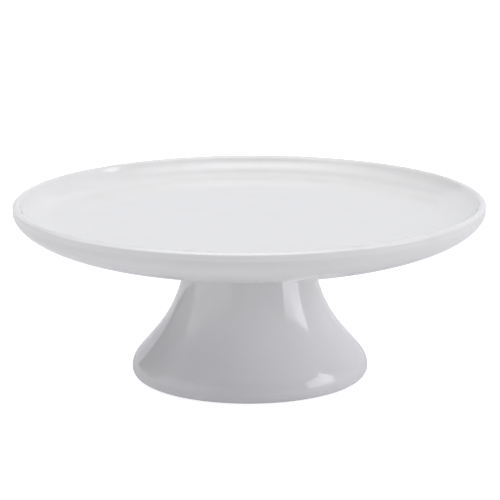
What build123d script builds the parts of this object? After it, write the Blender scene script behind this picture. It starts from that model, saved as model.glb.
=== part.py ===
"""Glazed white pedestal cake stand: a dished plate luted onto a hollow flared pedestal.

All sizes in millimetres. +Z is up, and the origin is the centre of the foot on the table.
Every piece is turned about Z from one half section, drawn as it would be on a jigger profile.
"""
import os
from math import cos, radians, sin, tan

from build123d import *

os.makedirs("parts", exist_ok=True)

# ---------------------------------------------------------------- plate
PLATE_R = 155.0          # outermost radius of the rim
PLATE_TOP = 118.0        # crest of the lip above the table
LIP_R = 2.2              # rounding of the lip's crest
CREST_R = 152.2          # where the crest stands
LIP_SLOPE = 40.0         # fall of the lip from the crest out to its edge
LIP_EDGE_R = 1.2         # crisp outer edge of the lip
RIM_FACE_Z = 112.5       # foot of the short upright face under that edge
FLOOR_Z = 106.4          # flat inside of the well
FLOOR_R = 127.0          # where the floor starts to lift
DISH_R = 70.0            # slow lift at the edge of the floor
DISH_ANGLE = 8.2         # degrees turned by the slow lift
WALL_ANGLE = 60.0        # slope of the well's wall under the lip
BELLY_END_R = 119.2      # where the outside curve runs out under the plate
BELLY_END_Z = 90.7
BELLY_SLOPE = 13.3       # slope of the underside there
BELLY_DROP = 0.4         # pull of the outside curve down from the rim
BELLY_PULL = 36.0        # pull of the outside curve out from the underside
BEAD_R = 9.0             # rounded bead that the belly turns in to
BEAD_TURN = 45.0         # inner slope of the bead
RECESS_R = 12.0          # hollow rounding from the bead to the recess
FLOOR_T = 9.5            # thickness of the floor inside the recess

# ---------------------------------------------------------------- pedestal
FOOT_R = 78.2            # widest radius of the foot
FOOT_EDGE_R = 6.0        # rounding from the table up to the widest line
FOOT_ROLL_R = 14.7       # roll of the foot above the widest line
FLARE_ANGLE = 40.0       # slope of the skirt, from the vertical
FLARE_R = 90.0           # hollow sweep from the skirt up to the neck
NECK_R = 42.3            # outside of the neck
WALL = 6.0               # wall of the cast pedestal
FOOT_BORE_R = 65.0       # inner edge of the foot ring
FOOT_BORE_SLOPE = 0.25   # how fast the inside of the foot opens going up
FOOT_BLEND_R = 6.0       # blend inside, from the foot to the skirt
FOOT_EDGE_INNER = 1.2    # softened inner edge of the foot ring

# ---------------------------------------------------------------- luted joint
SEAM = 0.5               # slip between the pedestal's top and the plate
SPIGOT_GAP = 0.7         # slip around the locating ring
SPIGOT_T = 5.0           # thickness of the locating ring
SPIGOT_H = 6.0           # how far the locating ring reaches down
SPIGOT_SLIP_H = 4.6      # how far the slip runs down beside it
SLIP_FILLET = 5.3        # sponged fillet outside the neck
SLIP_FILLET_ARC = 6.6    # its hollow radius
EDGE_BREAK = 0.5         # fettled edges at the joint

underside_z = FLOOR_Z - FLOOR_T
spigot_r = NECK_R - WALL - SPIGOT_GAP
neck_top_z = underside_z - SEAM

# ---------------------------------------------------------------- plate
# Cove radius that carries the lifted floor into the sloping wall below the lip.
lift_end_r = FLOOR_R + DISH_R * sin(radians(DISH_ANGLE))
lift_end_z = FLOOR_Z + DISH_R * (1 - cos(radians(DISH_ANGLE)))
lip_inner_r = CREST_R - LIP_R * sin(radians(WALL_ANGLE))
lip_inner_z = PLATE_TOP - LIP_R + LIP_R * cos(radians(WALL_ANGLE))
cove_turn = WALL_ANGLE - DISH_ANGLE
cove_r = (
    (lip_inner_r - lift_end_r) * sin(radians(WALL_ANGLE))
    - (lip_inner_z - lift_end_z) * cos(radians(WALL_ANGLE))
) / (1 - cos(radians(cove_turn)))

# The lip falls in a straight line from its crest until its edge rounds it into the upright face.
fall_start_r = CREST_R + LIP_R * sin(radians(LIP_SLOPE))
fall_end_r = PLATE_R - LIP_EDGE_R * (1 - sin(radians(LIP_SLOPE)))
fall_length = (fall_end_r - fall_start_r) / cos(radians(LIP_SLOPE))
belly_pull_r = BELLY_END_R + BELLY_PULL * cos(radians(BELLY_SLOPE))
belly_pull_z = BELLY_END_Z + BELLY_PULL * sin(radians(BELLY_SLOPE))

with BuildPart() as plate:
    with BuildSketch(Plane.XZ):
        with BuildLine():
            floor = Line((0, FLOOR_Z), (FLOOR_R, FLOOR_Z))
            lift = JernArc(floor @ 1, (1, 0), DISH_R, DISH_ANGLE)
            cove = JernArc(lift @ 1, lift % 1, cove_r, cove_turn)
            wall = Line(cove @ 1, (lip_inner_r, lip_inner_z))
            lip = JernArc(wall @ 1, wall % 1, LIP_R, -(WALL_ANGLE + LIP_SLOPE))
            fall = Line(lip @ 1, lip @ 1 + (lip % 1) * fall_length)
            lip_edge = JernArc(fall @ 1, fall % 1, LIP_EDGE_R, LIP_SLOPE - 90)
            face = Line(lip_edge @ 1, (PLATE_R, RIM_FACE_Z))
            belly = Bezier(
                face @ 1,
                (PLATE_R, RIM_FACE_Z - BELLY_DROP),
                (belly_pull_r, belly_pull_z),
                (BELLY_END_R, BELLY_END_Z),
            )
            bead = JernArc(belly @ 1, belly % 1, BEAD_R, -(BELLY_SLOPE + BEAD_TURN))
            rise = underside_z - (bead @ 1).Y - RECESS_R * (1 - cos(radians(BEAD_TURN)))
            flank = Line(bead @ 1, bead @ 1 + (-rise / tan(radians(BEAD_TURN)), rise))
            hollow = JernArc(flank @ 1, flank % 1, RECESS_R, BEAD_TURN)
            Polyline(
                hollow @ 1,
                (spigot_r, underside_z),
                (spigot_r, underside_z - SPIGOT_H),
                (spigot_r - SPIGOT_T, underside_z - SPIGOT_H),
                (spigot_r - SPIGOT_T, underside_z),
                (0, underside_z),
                (0, FLOOR_Z),
            )
        make_face()
    revolve(axis=Axis.Z)
    spigot_z = underside_z - SPIGOT_H
    spigot_rings = plate.edges().filter_by_position(Axis.Z, spigot_z - 0.01, spigot_z + 0.01)
    chamfer(spigot_rings, EDGE_BREAK)

# ---------------------------------------------------------------- pedestal
roll_end_r = FOOT_R - FOOT_ROLL_R + FOOT_ROLL_R * cos(radians(FLARE_ANGLE))
roll_end_z = FOOT_EDGE_R + FOOT_ROLL_R * sin(radians(FLARE_ANGLE))
sweep_centre_r = NECK_R + FLARE_R
skirt_top_r = sweep_centre_r - FLARE_R * cos(radians(FLARE_ANGLE))
skirt_top_z = roll_end_z + (roll_end_r - skirt_top_r) / tan(radians(FLARE_ANGLE))
neck_start_z = skirt_top_z + FLARE_R * sin(radians(FLARE_ANGLE))
inner_sweep_r = FLARE_R + WALL

# The inside of the skirt runs parallel to the outside until it meets the foot's bore.
skirt_in_r = sweep_centre_r - inner_sweep_r * cos(radians(FLARE_ANGLE))
skirt_in_z = neck_start_z - inner_sweep_r * sin(radians(FLARE_ANGLE))
bore_top_z = (skirt_in_r + skirt_in_z * tan(radians(FLARE_ANGLE)) - FOOT_BORE_R) / (
    FOOT_BORE_SLOPE + tan(radians(FLARE_ANGLE))
)
bore_top_r = FOOT_BORE_R + FOOT_BORE_SLOPE * bore_top_z

with BuildPart() as pedestal:
    with BuildSketch(Plane.XZ):
        with BuildLine():
            tread = Line((FOOT_BORE_R, 0), (FOOT_R - FOOT_EDGE_R, 0))
            edge = JernArc(tread @ 1, (1, 0), FOOT_EDGE_R, 90)
            roll = JernArc(edge @ 1, (0, 1), FOOT_ROLL_R, FLARE_ANGLE)
            skirt = Line(roll @ 1, (skirt_top_r, skirt_top_z))
            sweep = JernArc(skirt @ 1, skirt % 1, FLARE_R, -FLARE_ANGLE)
            Polyline(
                sweep @ 1,
                (NECK_R, neck_top_z),
                (NECK_R - WALL, neck_top_z),
                (NECK_R - WALL, neck_start_z),
            )
            inner = JernArc((NECK_R - WALL, neck_start_z), (0, -1), inner_sweep_r, FLARE_ANGLE)
            Polyline(inner @ 1, (bore_top_r, bore_top_z), (FOOT_BORE_R, 0))
        make_face()
    revolve(axis=Axis.Z)
    rings = pedestal.edges().filter_by(GeomType.CIRCLE)
    bore_top = rings.filter_by(lambda e: abs(e.radius - bore_top_r) < 0.01)
    fillet(bore_top, FOOT_BLEND_R)
    tread_inner = pedestal.edges().filter_by(GeomType.CIRCLE).group_by(Axis.Z)[0]
    fillet(tread_inner.sort_by(SortBy.RADIUS)[0], FOOT_EDGE_INNER)

# ---------------------------------------------------------------- joining slip
with BuildPart() as joining_slip:
    with BuildSketch(Plane.XZ):
        with BuildLine():
            seam = Polyline(
                (NECK_R, underside_z - SLIP_FILLET),
                (NECK_R, neck_top_z),
                (NECK_R - WALL, neck_top_z),
                (NECK_R - WALL, underside_z - SPIGOT_SLIP_H),
                (spigot_r, underside_z - SPIGOT_SLIP_H),
                (spigot_r, underside_z),
                (NECK_R + SLIP_FILLET, underside_z),
            )
            RadiusArc(seam @ 1, seam @ 0, SLIP_FILLET_ARC)
        make_face()
    revolve(axis=Axis.Z)

plate.part.label = "plate"
pedestal.part.label = "pedestal"
joining_slip.part.label = "joining_slip"
export_step(plate.part, "parts/plate.step")
export_step(pedestal.part, "parts/pedestal.step")
export_step(joining_slip.part, "parts/joining_slip.step")
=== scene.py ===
"""Looks of the white pedestal cake stand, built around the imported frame."""
from math import atan2, cos, hypot, pi, radians, sin, sqrt, tan

import bmesh
import bpy
from mathutils import Matrix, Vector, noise


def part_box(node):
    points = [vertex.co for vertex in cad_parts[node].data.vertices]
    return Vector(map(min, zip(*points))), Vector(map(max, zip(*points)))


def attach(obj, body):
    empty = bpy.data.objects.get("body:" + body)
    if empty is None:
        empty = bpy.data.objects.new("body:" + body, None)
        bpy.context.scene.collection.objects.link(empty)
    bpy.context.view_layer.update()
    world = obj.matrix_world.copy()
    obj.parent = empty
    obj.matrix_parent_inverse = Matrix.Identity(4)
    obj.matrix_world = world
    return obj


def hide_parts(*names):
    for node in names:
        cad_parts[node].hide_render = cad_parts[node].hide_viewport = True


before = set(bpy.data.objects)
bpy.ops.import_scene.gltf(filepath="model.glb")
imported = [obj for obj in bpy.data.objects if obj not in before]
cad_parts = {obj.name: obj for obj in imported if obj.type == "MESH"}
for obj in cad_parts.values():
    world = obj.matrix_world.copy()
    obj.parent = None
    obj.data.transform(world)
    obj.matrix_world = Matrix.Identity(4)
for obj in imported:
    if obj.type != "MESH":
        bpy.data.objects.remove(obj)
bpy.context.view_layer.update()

# ---------------------------------------------------------------- sizes, in metres
MM = 0.001
plate_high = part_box("plate")[1]
pedestal_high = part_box("pedestal")[1]
slip_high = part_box("joining_slip")[1]

PLATE_R = plate_high[0]
PLATE_TOP = plate_high[2]
FOOT_R = pedestal_high[0]
NECK_TOP = pedestal_high[2]
UNDERSIDE = slip_high[2]

LIP_R = 2.2 * MM
CREST_R = 152.2 * MM
LIP_SLOPE = 40.0
LIP_EDGE_R = 1.2 * MM
RIM_FACE_Z = 112.5 * MM
FLOOR_T = 9.5 * MM
FLOOR_R = 127.0 * MM
DISH_R = 70.0 * MM
DISH_ANGLE = 8.2
WALL_ANGLE = 60.0
BELLY_END = (119.2 * MM, 90.7 * MM)
BELLY_SLOPE = 13.3
BELLY_DROP = 0.4 * MM
BELLY_PULL = 36.0 * MM
BEAD_R = 9.0 * MM
BEAD_TURN = 45.0
RECESS_R = 12.0 * MM

FOOT_EDGE_R = 6.0 * MM
FOOT_ROLL_R = 14.7 * MM
FLARE_ANGLE = 40.0
FLARE_R = 90.0 * MM
NECK_R = 42.3 * MM
WALL = 6.0 * MM
FOOT_BORE_R = 65.0 * MM
FOOT_BORE_SLOPE = 0.25
FOOT_BLEND_R = 6.0 * MM
FOOT_EDGE_INNER = 1.2 * MM
SPIGOT_GAP = 0.7 * MM
SPIGOT_T = 5.0 * MM
SPIGOT_H = 6.0 * MM
SPIGOT_COVE = 0.8 * MM
SPIGOT_SLIP_H = 4.6 * MM
SLIP_FILLET = 5.3 * MM
SLIP_FILLET_ARC = 6.6 * MM
EDGE_BREAK = 0.5 * MM

FLOOR_Z = UNDERSIDE + FLOOR_T
SPIGOT_R = NECK_R - WALL - SPIGOT_GAP

SEGMENTS = 360           # facets round the axis
STEP = 1.3 * MM          # distance between points along a half section
SHARP = 35.0             # a turn above this many degrees is a hard corner
WAVE = 0.05 * MM         # how far the glazed surface waves
WAVE_SCALE = 45 * MM     # size of one wave
WAVE_FADE = 4 * MM       # the wave fades out this far above the table
ON_AXIS = 1e-7           # a point nearer to the axis than this is on it


# ---------------------------------------------------------------- half sections
class Section:
    """A half section drawn as a pen moves: straight runs, tangent arcs and one free curve."""

    def __init__(self, r, z, heading):
        self.points = [(r, z)]
        self.heading = radians(heading)

    def line_to(self, r, z):
        r0, z0 = self.points[-1]
        count = max(1, round(hypot(r - r0, z - z0) / STEP))
        for i in range(1, count + 1):
            self.points.append((r0 + (r - r0) * i / count, z0 + (z - z0) * i / count))
        self.heading = atan2(z - z0, r - r0)
        return self

    def forward(self, length):
        r0, z0 = self.points[-1]
        return self.line_to(r0 + length * cos(self.heading), z0 + length * sin(self.heading))

    def arc(self, radius, turn):
        """A left turn for a positive angle in degrees, a right turn for a negative one."""
        r0, z0 = self.points[-1]
        side = 1 if turn > 0 else -1
        cr = r0 - side * radius * sin(self.heading)
        cz = z0 + side * radius * cos(self.heading)
        count = max(5, round(abs(radians(turn)) * radius / STEP))
        start = self.heading - side * pi / 2
        for i in range(1, count + 1):
            a = start + radians(turn) * i / count
            self.points.append((cr + radius * cos(a), cz + radius * sin(a)))
        self.heading += radians(turn)
        return self

    def corner(self, r, z, radius, heading):
        """Runs to a corner and rounds it into a new heading."""
        r0, z0 = self.points[-1]
        along = atan2(z - z0, r - r0)
        turn = (radians(heading) - along + pi) % (2 * pi) - pi
        short = radius * abs(tan(turn / 2))
        self.line_to(r - short * cos(along), z - short * sin(along))
        return self.arc(radius, turn * 180 / pi)

    def bezier(self, p1, p2, p3, count=40):
        p0 = self.points[-1]
        for i in range(1, count + 1):
            t = i / count
            s = 1 - t
            w = (s ** 3, 3 * s * s * t, 3 * s * t * t, t ** 3)
            self.points.append(tuple(sum(k * p[j] for k, p in zip(w, (p0, p1, p2, p3))) for j in (0, 1)))
        self.heading = atan2(p3[1] - p2[1], p3[0] - p2[0])
        return self


def plate_section():
    """From the middle of the well, out over the lip, and back under the plate to the axis."""
    lip_r = CREST_R - LIP_R * sin(radians(WALL_ANGLE))
    lip_z = PLATE_TOP - LIP_R * (1 - cos(radians(WALL_ANGLE)))
    lift_r = FLOOR_R + DISH_R * sin(radians(DISH_ANGLE))
    lift_z = FLOOR_Z + DISH_R * (1 - cos(radians(DISH_ANGLE)))
    cove_turn = WALL_ANGLE - DISH_ANGLE
    run = (lip_r - lift_r) * sin(radians(WALL_ANGLE)) - (lip_z - lift_z) * cos(radians(WALL_ANGLE))
    cove_r = run / (1 - cos(radians(cove_turn)))
    slope = radians(LIP_SLOPE)
    fall = PLATE_R - LIP_EDGE_R * (1 - sin(slope)) - CREST_R - LIP_R * sin(slope)
    pull = (
        BELLY_END[0] + BELLY_PULL * cos(radians(BELLY_SLOPE)),
        BELLY_END[1] + BELLY_PULL * sin(radians(BELLY_SLOPE)),
    )
    s = Section(0, FLOOR_Z, 0).line_to(FLOOR_R, FLOOR_Z)
    s.arc(DISH_R, DISH_ANGLE).arc(cove_r, cove_turn).line_to(lip_r, lip_z)
    s.arc(LIP_R, -(WALL_ANGLE + LIP_SLOPE)).forward(fall / cos(slope))
    s.arc(LIP_EDGE_R, LIP_SLOPE - 90).line_to(PLATE_R, RIM_FACE_Z)
    s.bezier((PLATE_R, RIM_FACE_Z - BELLY_DROP), pull, BELLY_END)
    s.arc(BEAD_R, -(BELLY_SLOPE + BEAD_TURN))
    rise = UNDERSIDE - s.points[-1][1] - RECESS_R * (1 - cos(radians(BEAD_TURN)))
    s.forward(rise / sin(radians(BEAD_TURN))).arc(RECESS_R, BEAD_TURN)
    s.line_to(SPIGOT_R, UNDERSIDE)
    s.corner(SPIGOT_R, UNDERSIDE - SPIGOT_H, EDGE_BREAK, 180)
    s.corner(SPIGOT_R - SPIGOT_T, UNDERSIDE - SPIGOT_H, EDGE_BREAK, 90)
    s.corner(SPIGOT_R - SPIGOT_T, UNDERSIDE, SPIGOT_COVE, 180)
    return s.line_to(0, UNDERSIDE).points


def pedestal_section():
    """Once round the wall, from the middle of the foot ring, up the outside and down the inside."""
    angle = radians(FLARE_ANGLE)
    roll_r = FOOT_R - FOOT_ROLL_R * (1 - cos(angle))
    roll_z = FOOT_EDGE_R + FOOT_ROLL_R * sin(angle)
    centre_r = NECK_R + FLARE_R
    skirt_r = centre_r - FLARE_R * cos(angle)
    skirt_z = roll_z + (roll_r - skirt_r) / tan(angle)
    neck_z = skirt_z + FLARE_R * sin(angle)
    inner = FLARE_R + WALL
    in_r = centre_r - inner * cos(angle)
    in_z = neck_z - inner * sin(angle)
    bore_z = (in_r + in_z * tan(angle) - FOOT_BORE_R) / (FOOT_BORE_SLOPE + tan(angle))
    bore_r = FOOT_BORE_R + FOOT_BORE_SLOPE * bore_z
    s = Section((FOOT_BORE_R + FOOT_R - FOOT_EDGE_R) / 2, 0, 0).line_to(FOOT_R - FOOT_EDGE_R, 0)
    s.arc(FOOT_EDGE_R, 90).arc(FOOT_ROLL_R, FLARE_ANGLE).line_to(skirt_r, skirt_z)
    s.arc(FLARE_R, -FLARE_ANGLE).line_to(NECK_R, NECK_TOP).line_to(NECK_R - WALL, NECK_TOP)
    s.line_to(NECK_R - WALL, neck_z).arc(inner, FLARE_ANGLE)
    bore_heading = -90 - atan2(FOOT_BORE_SLOPE, 1) * 180 / pi
    s.corner(bore_r, bore_z, FOOT_BLEND_R, bore_heading)
    return s.corner(FOOT_BORE_R, 0, FOOT_EDGE_INNER, 0).points


def slip_section():
    """The L of slip in the joint, with the sponged fillet outside the neck."""
    turn = 90 - 2 * (45 - half_angle(SLIP_FILLET * sqrt(2), SLIP_FILLET_ARC))
    s = Section(NECK_R, UNDERSIDE - SLIP_FILLET, 90)
    s.line_to(NECK_R, NECK_TOP).line_to(NECK_R - WALL, NECK_TOP)
    s.line_to(NECK_R - WALL, UNDERSIDE - SPIGOT_SLIP_H).line_to(SPIGOT_R, UNDERSIDE - SPIGOT_SLIP_H)
    s.line_to(SPIGOT_R, UNDERSIDE).line_to(NECK_R + SLIP_FILLET, UNDERSIDE)
    s.heading = radians(180 + 45 - turn / 2)
    return s.arc(SLIP_FILLET_ARC, turn).points[:-1]


def half_angle(chord, radius):
    """Half the angle, in degrees, that a chord cuts from a circle."""
    return atan2(chord / 2, sqrt(radius ** 2 - (chord / 2) ** 2)) * 180 / pi


# ---------------------------------------------------------------- turning
def turn(name, points, closed):
    """Turns a half section about Z. An open one starts and ends on the axis."""
    bm = bmesh.new()
    rings = []
    for r, z in points:
        if r < ON_AXIS:
            rings.append([bm.verts.new((0, 0, z))])
        else:
            angles = (2 * pi * k / SEGMENTS for k in range(SEGMENTS))
            rings.append([bm.verts.new((r * cos(a), r * sin(a), z)) for a in angles])
    pairs = list(zip(rings, rings[1:]))
    if closed:
        pairs.append((rings[-1], rings[0]))
    for a, b in pairs:
        for k in range(SEGMENTS):
            n = (k + 1) % SEGMENTS
            corners = [a[k % len(a)], a[n % len(a)], b[n % len(b)], b[k % len(b)]]
            face = list(dict.fromkeys(corners))
            bm.faces.new(face).smooth = True
    bmesh.ops.recalc_face_normals(bm, faces=bm.faces)
    for edge in bm.edges:
        edge.smooth = edge.calc_face_angle(0) < radians(SHARP)
    mesh = bpy.data.meshes.new(name)
    bm.to_mesh(mesh)
    bm.free()
    piece = bpy.data.objects.new(name, mesh)
    bpy.context.scene.collection.objects.link(piece)
    return piece


def wave(piece, amount, scale):
    """Lets the glazed surface wave inwards a little, as fired ware does. The foot ring stays flat."""
    mesh = piece.data
    normals = [v.normal.copy() for v in mesh.vertices]
    for v, normal in zip(mesh.vertices, normals):
        lift = min(1.0, max(0.0, v.co.z / WAVE_FADE))
        swell = 0.5 + 0.5 * noise.noise(v.co / scale)
        v.co -= normal * amount * swell * lift


# ---------------------------------------------------------------- materials
class Nodes:
    """Short hand for building a material's node tree."""

    def __init__(self, name):
        self.material = bpy.data.materials.new(name)
        self.material.use_nodes = True
        self.tree = self.material.node_tree
        self.shader = self.tree.nodes["Principled BSDF"]
        coords = self.tree.nodes.new("ShaderNodeTexCoord")
        self.place = coords.outputs["Object"]

    def add(self, kind, **values):
        node = self.tree.nodes.new(kind)
        for key, value in values.items():
            if hasattr(node, key):
                setattr(node, key, value)
            else:
                node.inputs[key.replace("_", " ").title()].default_value = value
        return node

    def link(self, source, target):
        self.tree.links.new(source, target)

    def noise(self, scale, detail=3.0, roughness=0.5):
        node = self.add("ShaderNodeTexNoise", scale=scale, detail=detail, roughness=roughness)
        self.link(self.place, node.inputs["Vector"])
        return node.outputs["Fac"]

    def ramp(self, source, *stops):
        node = self.tree.nodes.new("ShaderNodeValToRGB")
        elements = node.color_ramp.elements
        while len(elements) < len(stops):
            elements.new(0.5)
        for element, (position, colour) in zip(elements, stops):
            element.position = position
            element.color = (*colour, 1.0)
        self.link(source, node.inputs["Fac"])
        return node.outputs["Color"]

    def scaled(self, source, low, high, from_low=0.0, from_high=1.0):
        node = self.tree.nodes.new("ShaderNodeMapRange")
        values = (from_low, from_high, low, high)
        for socket, value in zip(("From Min", "From Max", "To Min", "To Max"), values):
            node.inputs[socket].default_value = value
        self.link(source, node.inputs["Value"])
        return node.outputs["Result"]

    def mix(self, factor, a, b, kind="RGBA"):
        node = self.tree.nodes.new("ShaderNodeMix")
        node.data_type = kind
        slots = {"RGBA": (0, 6, 7, 2), "FLOAT": (0, 2, 3, 0)}[kind]
        self.link(factor, node.inputs[slots[0]])
        self.link(a, node.inputs[slots[1]])
        self.link(b, node.inputs[slots[2]])
        return node.outputs[slots[3]]

    def bump(self, source, distance, strength):
        node = self.tree.nodes.new("ShaderNodeBump")
        node.inputs["Strength"].default_value = strength
        node.inputs["Distance"].default_value = distance
        self.link(source, node.inputs["Height"])
        return node.outputs["Normal"]

    def height(self):
        node = self.tree.nodes.new("ShaderNodeSeparateXYZ")
        self.link(self.place, node.inputs["Vector"])
        return node.outputs["Z"]


WHITE = (0.80, 0.80, 0.80)
WHITE_THIN = (0.785, 0.782, 0.775)
BISCUIT = (0.62, 0.57, 0.50)
BISCUIT_DARK = (0.52, 0.47, 0.40)
GLAZE_IOR = 1.5
GLOSS = (0.012, 0.035)           # roughness of the glaze
DRY_ROUGH = (0.70, 0.90)         # roughness of the bare foot ring
RIPPLE = 0.01 * MM
RIPPLE_STRENGTH = 0.25
DRY_EDGE = 1.1 * MM              # height at which the glaze starts
DRY_WANDER = 0.9 * MM            # how far that edge wanders
DRY_FADE = (0.75 * MM, 0.4 * MM)  # below the edge, where bare body turns to glaze


def glaze():
    """Gloss white glaze over a pale body, wiped off the foot ring."""
    n = Nodes("white_glaze")
    n.shader.inputs["IOR"].default_value = GLAZE_IOR
    body = n.ramp(n.noise(38.0, 4.0, 0.55), (0.30, WHITE_THIN), (0.50, WHITE))
    dry_colour = n.ramp(n.noise(900.0, 5.0, 0.7), (0.3, BISCUIT_DARK), (0.7, BISCUIT))
    ragged = n.tree.nodes.new("ShaderNodeMath")
    ragged.operation = "MULTIPLY_ADD"
    n.link(n.noise(160.0, 3.0), ragged.inputs[0])
    ragged.inputs[1].default_value = -DRY_WANDER
    n.link(n.height(), ragged.inputs[2])
    fade_start, fade_end = (DRY_EDGE - depth for depth in DRY_FADE)
    dry = n.scaled(ragged.outputs["Value"], 1.0, 0.0, fade_start, fade_end)
    n.link(n.mix(dry, body, dry_colour), n.shader.inputs["Base Color"])
    gloss = n.scaled(n.noise(70.0, 3.0), *GLOSS)
    rough = n.scaled(n.noise(700.0, 3.0), *DRY_ROUGH)
    n.link(n.mix(dry, gloss, rough, "FLOAT"), n.shader.inputs["Roughness"])
    n.link(n.bump(n.noise(240.0, 2.0), RIPPLE, RIPPLE_STRENGTH), n.shader.inputs["Normal"])
    return n.material


# ---------------------------------------------------------------- studio
FLOOR_GLOW = 0.29        # light from the table, as the stand sees it
FLOOR_SEEN = 0.85        # and as the camera sees it
FLOOR_TINT = (0.94, 0.95, 1.0, 1.0)
FLOOR_DARK = (0.49, 0.49, 0.49)
FLOOR_PALE = (0.51, 0.51, 0.51)
FLOOR_SIZE = 60.0

VIEW_DISTANCE = 10.0 * PLATE_R
VIEW_HEIGHT = 2.867 * PLATE_R
VIEW_PITCH = 13.10
VIEW_ROLL = 0.253
VIEW_LENS = 173.64
VIEW_SHIFT = 0.0011
VIEW_REACH = 100.0       # farthest thing that the camera sees
SENSOR = 36.0


def camera():
    data = bpy.data.cameras.new("camera")
    data.sensor_width = SENSOR
    data.lens = VIEW_LENS
    data.shift_x = VIEW_SHIFT
    data.clip_end = VIEW_REACH
    cam = bpy.data.objects.new("camera", data)
    bpy.context.scene.collection.objects.link(cam)
    tilt = Matrix.Rotation(radians(90 - VIEW_PITCH), 4, "X")
    roll = Matrix.Rotation(radians(-VIEW_ROLL), 4, "Z")
    cam.matrix_world = Matrix.Translation((0, -VIEW_DISTANCE, VIEW_HEIGHT)) @ tilt @ roll
    bpy.context.scene.camera = cam


def floor_paper():
    """Plain pale table, lit through. It glows more to the camera, so that it stays near white."""
    n = Nodes("pale_table")
    paper = n.ramp(n.noise(3.0, 2.0), (0.3, FLOOR_DARK), (0.7, FLOOR_PALE))
    n.link(paper, n.shader.inputs["Base Color"])
    n.shader.inputs["Roughness"].default_value = 0.9
    n.shader.inputs["Specular IOR Level"].default_value = 0.0
    n.shader.inputs["Emission Color"].default_value = FLOOR_TINT
    path = n.tree.nodes.new("ShaderNodeLightPath")
    glow = n.scaled(path.outputs["Is Camera Ray"], FLOOR_GLOW, FLOOR_SEEN)
    n.link(glow, n.shader.inputs["Emission Strength"])
    return n.material


def table():
    bm = bmesh.new()
    bmesh.ops.create_grid(bm, x_segments=8, y_segments=8, size=FLOOR_SIZE / 2)
    mesh = bpy.data.meshes.new("table")
    bm.to_mesh(mesh)
    bm.free()
    obj = bpy.data.objects.new("table", mesh)
    bpy.context.scene.collection.objects.link(obj)
    mesh.materials.append(floor_paper())


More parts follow.
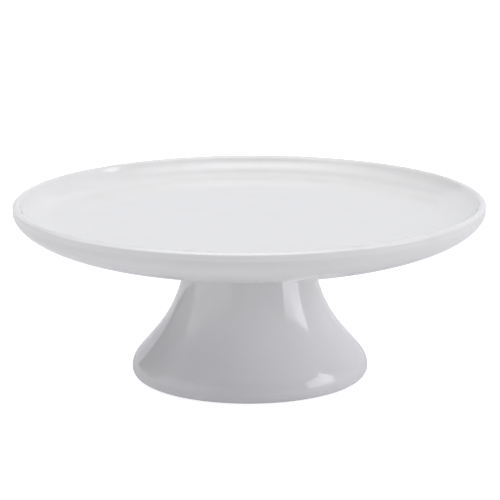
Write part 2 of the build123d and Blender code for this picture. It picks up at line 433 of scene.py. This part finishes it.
class Sky:
    """The studio round the stand, as a world whose light depends on direction.

    Azimuth is 0 towards the camera and grows to the right, in degrees."""

    def __init__(self):
        world = bpy.data.worlds.new("studio")
        bpy.context.scene.world = world
        world.use_nodes = True
        self.tree = world.node_tree
        coords = self.tree.nodes.new("ShaderNodeTexCoord")
        self.direction = coords.outputs["Generated"]
        self.x, self.y, self.z = self.split(self.direction)
        self.azimuth = self.math("ARCTAN2", self.x, self.math("MULTIPLY", self.y, -1.0))
        self.elevation = self.math("ARCSINE", self.z)
        self.total = self.tree.nodes.new("ShaderNodeCombineXYZ").outputs["Vector"]

    def split(self, vector):
        node = self.tree.nodes.new("ShaderNodeSeparateXYZ")
        self.tree.links.new(vector, node.inputs["Vector"])
        return node.outputs

    def math(self, operation, a, b=None):
        node = self.tree.nodes.new("ShaderNodeMath")
        node.operation = operation
        for socket, value in zip(node.inputs, (a, b)):
            if isinstance(value, (int, float)):
                socket.default_value = value
            elif value is not None:
                self.tree.links.new(value, socket)
        return node.outputs["Value"]

    def above(self, value, edge, soft):
        """0 below an edge and 1 above it, with a soft step."""
        node = self.tree.nodes.new("ShaderNodeMapRange")
        node.interpolation_type = "SMOOTHSTEP"
        node.inputs["From Min"].default_value = edge - soft / 2
        node.inputs["From Max"].default_value = edge + soft / 2
        self.tree.links.new(value, node.inputs["Value"])
        return node.outputs["Result"]

    def between(self, value, low, high, soft_low, soft_high):
        inside = self.above(value, low, soft_low)
        outside = self.above(value, high, soft_high)
        return self.math("MULTIPLY", inside, self.math("SUBTRACT", 1.0, outside))

    def add(self, mask, light):
        node = self.tree.nodes.new("ShaderNodeVectorMath")
        node.operation = "MULTIPLY_ADD"
        self.tree.links.new(mask, node.inputs[0])
        node.inputs[1].default_value = light
        self.tree.links.new(self.total, node.inputs[2])
        self.total = node.outputs["Vector"]

    def panel(self, az, el, light, soft):
        """A patch between two azimuths and two elevations."""
        middle = (az[0] + az[1]) / 2
        swing = self.math("SUBTRACT", self.azimuth, radians(middle))
        wrapped = self.math("WRAP", swing, pi)
        wrapped.node.inputs[2].default_value = -pi
        half = (az[1] - az[0]) / 2
        s = [radians(v) for v in soft]
        across = self.between(wrapped, radians(-half), radians(half), s[0], s[1])
        up = self.between(self.elevation, radians(el[0]), radians(el[1]), s[2], s[3])
        self.add(self.math("MULTIPLY", across, up), light)

    def card(self, facing, across, up, light, soft, ragged):
        """A flat upright softbox. Its plane is one unit away at the azimuth it faces.

        Its top edge wanders up and down by the ragged amount."""
        a = radians(facing)
        along = self.dot((sin(a), -cos(a), 0))
        side = self.dot((cos(a), sin(a), 0))
        near = self.math("MAXIMUM", along, 0.001)
        u = self.math("DIVIDE", side, near)
        v = self.math("DIVIDE", self.z, near)
        wander = self.tree.nodes.new("ShaderNodeTexNoise")
        wander.noise_dimensions = "1D"
        wander.inputs["Scale"].default_value = RAGGED_SCALE
        wander.inputs["Detail"].default_value = 3.0
        self.tree.links.new(u, wander.inputs["W"])
        shift = self.math("MULTIPLY", self.math("SUBTRACT", wander.outputs["Fac"], 0.5), 2 * ragged)
        across_mask = self.between(u, *across, soft[0], soft[1])
        bottom = self.above(v, up[0], soft[2])
        top = self.math("SUBTRACT", 1.0, self.above(self.math("ADD", v, shift), up[1], soft[3]))
        mask = self.math("MULTIPLY", across_mask, self.math("MULTIPLY", bottom, top))
        self.add(self.math("MULTIPLY", mask, self.above(along, 0.002, 0.002)), light)

    def overhead(self, across, towards, light, soft):
        """A flat softbox hung level, measured in tangents from straight up.

        Across grows to the right, and towards grows to the camera."""
        height = self.math("MAXIMUM", self.z, 0.001)
        u = self.between(self.math("DIVIDE", self.x, height), *across, soft[0], soft[0])
        nearer = self.math("DIVIDE", self.math("MULTIPLY", self.y, -1.0), height)
        v = self.between(nearer, *towards, soft[1], soft[1])
        upward = self.above(self.z, 0.05, 0.02)
        self.add(self.math("MULTIPLY", self.math("MULTIPLY", u, v), upward), light)

    def dot(self, axis):
        node = self.tree.nodes.new("ShaderNodeVectorMath")
        node.operation = "DOT_PRODUCT"
        self.tree.links.new(self.direction, node.inputs[0])
        node.inputs[1].default_value = axis
        return node.outputs["Value"]

    def finish(self, seen):
        """The camera itself sees a plain backdrop."""
        path = self.tree.nodes.new("ShaderNodeLightPath")
        mix = self.tree.nodes.new("ShaderNodeMix")
        mix.data_type = "VECTOR"
        self.tree.links.new(path.outputs["Is Camera Ray"], mix.inputs[0])
        self.tree.links.new(self.total, mix.inputs[4])
        mix.inputs[5].default_value = seen
        background = self.tree.nodes["Background"]
        background.inputs["Strength"].default_value = 1.0
        self.tree.links.new(mix.outputs[1], background.inputs["Color"])


WINDOW_FACING = 118      # azimuth square to the window's plane
WINDOW_RAGGED = 0.16     # how far its top edge wanders
RAGGED_SCALE = 5.0

# Strength of each light in red, green and blue. These started as the output of two least squares
# fits, which were blended and rounded.
LIGHT = {
    "overhead": (1.80, 1.85, 1.70),
    "overhead_core": (1.50, 1.45, 1.65),
    "overhead_left": (1.00, 1.00, 1.03),
    "window_low": (3.55, 3.55, 3.70),
    "window_high": (2.60, 2.50, 2.60),
    "window_bright": (1.60, 1.60, 1.75),
    "beside_window": (0.62, 0.62, 0.62),
    "above_window": (0.10, 0.14, 0.08),
    "left": (0.93, 0.91, 0.94),
    "left_high": (0.48, 0.46, 0.50),
    "front_right": (0.16, 0.10, 0.16),
    "front_left": (0.35, 0.38, 0.45),
    "backdrop": (0.73, 0.74, 0.79),
    "backdrop_high": (0.35, 0.32, 0.38),
}


def studio():
    """Softboxes overhead, a window at the right, and panels at the left, in front and behind."""
    sky = Sky()
    sky.overhead((-0.80, 0.65), (-0.15, 0.60), LIGHT["overhead"], soft=(0.7, 0.6))
    sky.overhead((-0.35, 0.30), (-0.10, 0.50), LIGHT["overhead_core"], soft=(0.4, 0.4))
    sky.overhead((-0.90, -0.20), (-0.60, 0.60), LIGHT["overhead_left"], soft=(0.5, 0.5))
    for name, across, up, soft, ragged in (
        ("window_low", (-1.77, -0.53), (0.03, 0.45), (0.05, 0.03, 0.04, 0.10), 0.0),
        ("window_high", (-1.77, -0.46), (0.45, 1.05), (0.05, 0.04, 0.10, 0.03), WINDOW_RAGGED),
        ("window_bright", (-1.00, -0.44), (0.35, 1.05), (0.4, 0.04, 0.3, 0.03), WINDOW_RAGGED),
    ):
        sky.card(WINDOW_FACING, across, up, LIGHT[name], soft, ragged)
    sky.panel((91, 122), (-3, 40), LIGHT["beside_window"], soft=(3, 3, 4, 10))
    sky.panel((45, 97), (42, 62), LIGHT["above_window"], soft=(12, 12, 10, 12))
    sky.panel((-101, -31.5), (-3, 30.5), LIGHT["left"], soft=(5, 2.5, 4, 3))
    sky.panel((-150, -50), (32, 52), LIGHT["left_high"], soft=(20, 20, 10, 12))
    sky.panel((5, 57), (8, 34), LIGHT["front_right"], soft=(40, 4, 12, 12))
    sky.panel((-31, 5), (8, 34), LIGHT["front_left"], soft=(3, 12, 12, 12))
    sky.panel((122.5, 217.5), (-3, 29), LIGHT["backdrop"], soft=(3, 3, 4, 4))
    sky.panel((122.5, 217.5), (29, 50), LIGHT["backdrop_high"], soft=(8, 8, 4, 14))
    sky.finish(seen=(1.0, 1.0, 1.0))


# ---------------------------------------------------------------- assembly
white = glaze()
for node, section, closed in (
    ("plate", plate_section(), False),
    ("pedestal", pedestal_section(), True),
    ("joining_slip", slip_section(), True),
):
    piece = turn(node + "_glazed", section, closed)
    wave(piece, WAVE, WAVE_SCALE)
    piece.data.materials.append(white)
    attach(piece, "root")
    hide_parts(node)

camera()
table()
studio()
bpy.context.scene.view_settings.view_transform = "Standard"
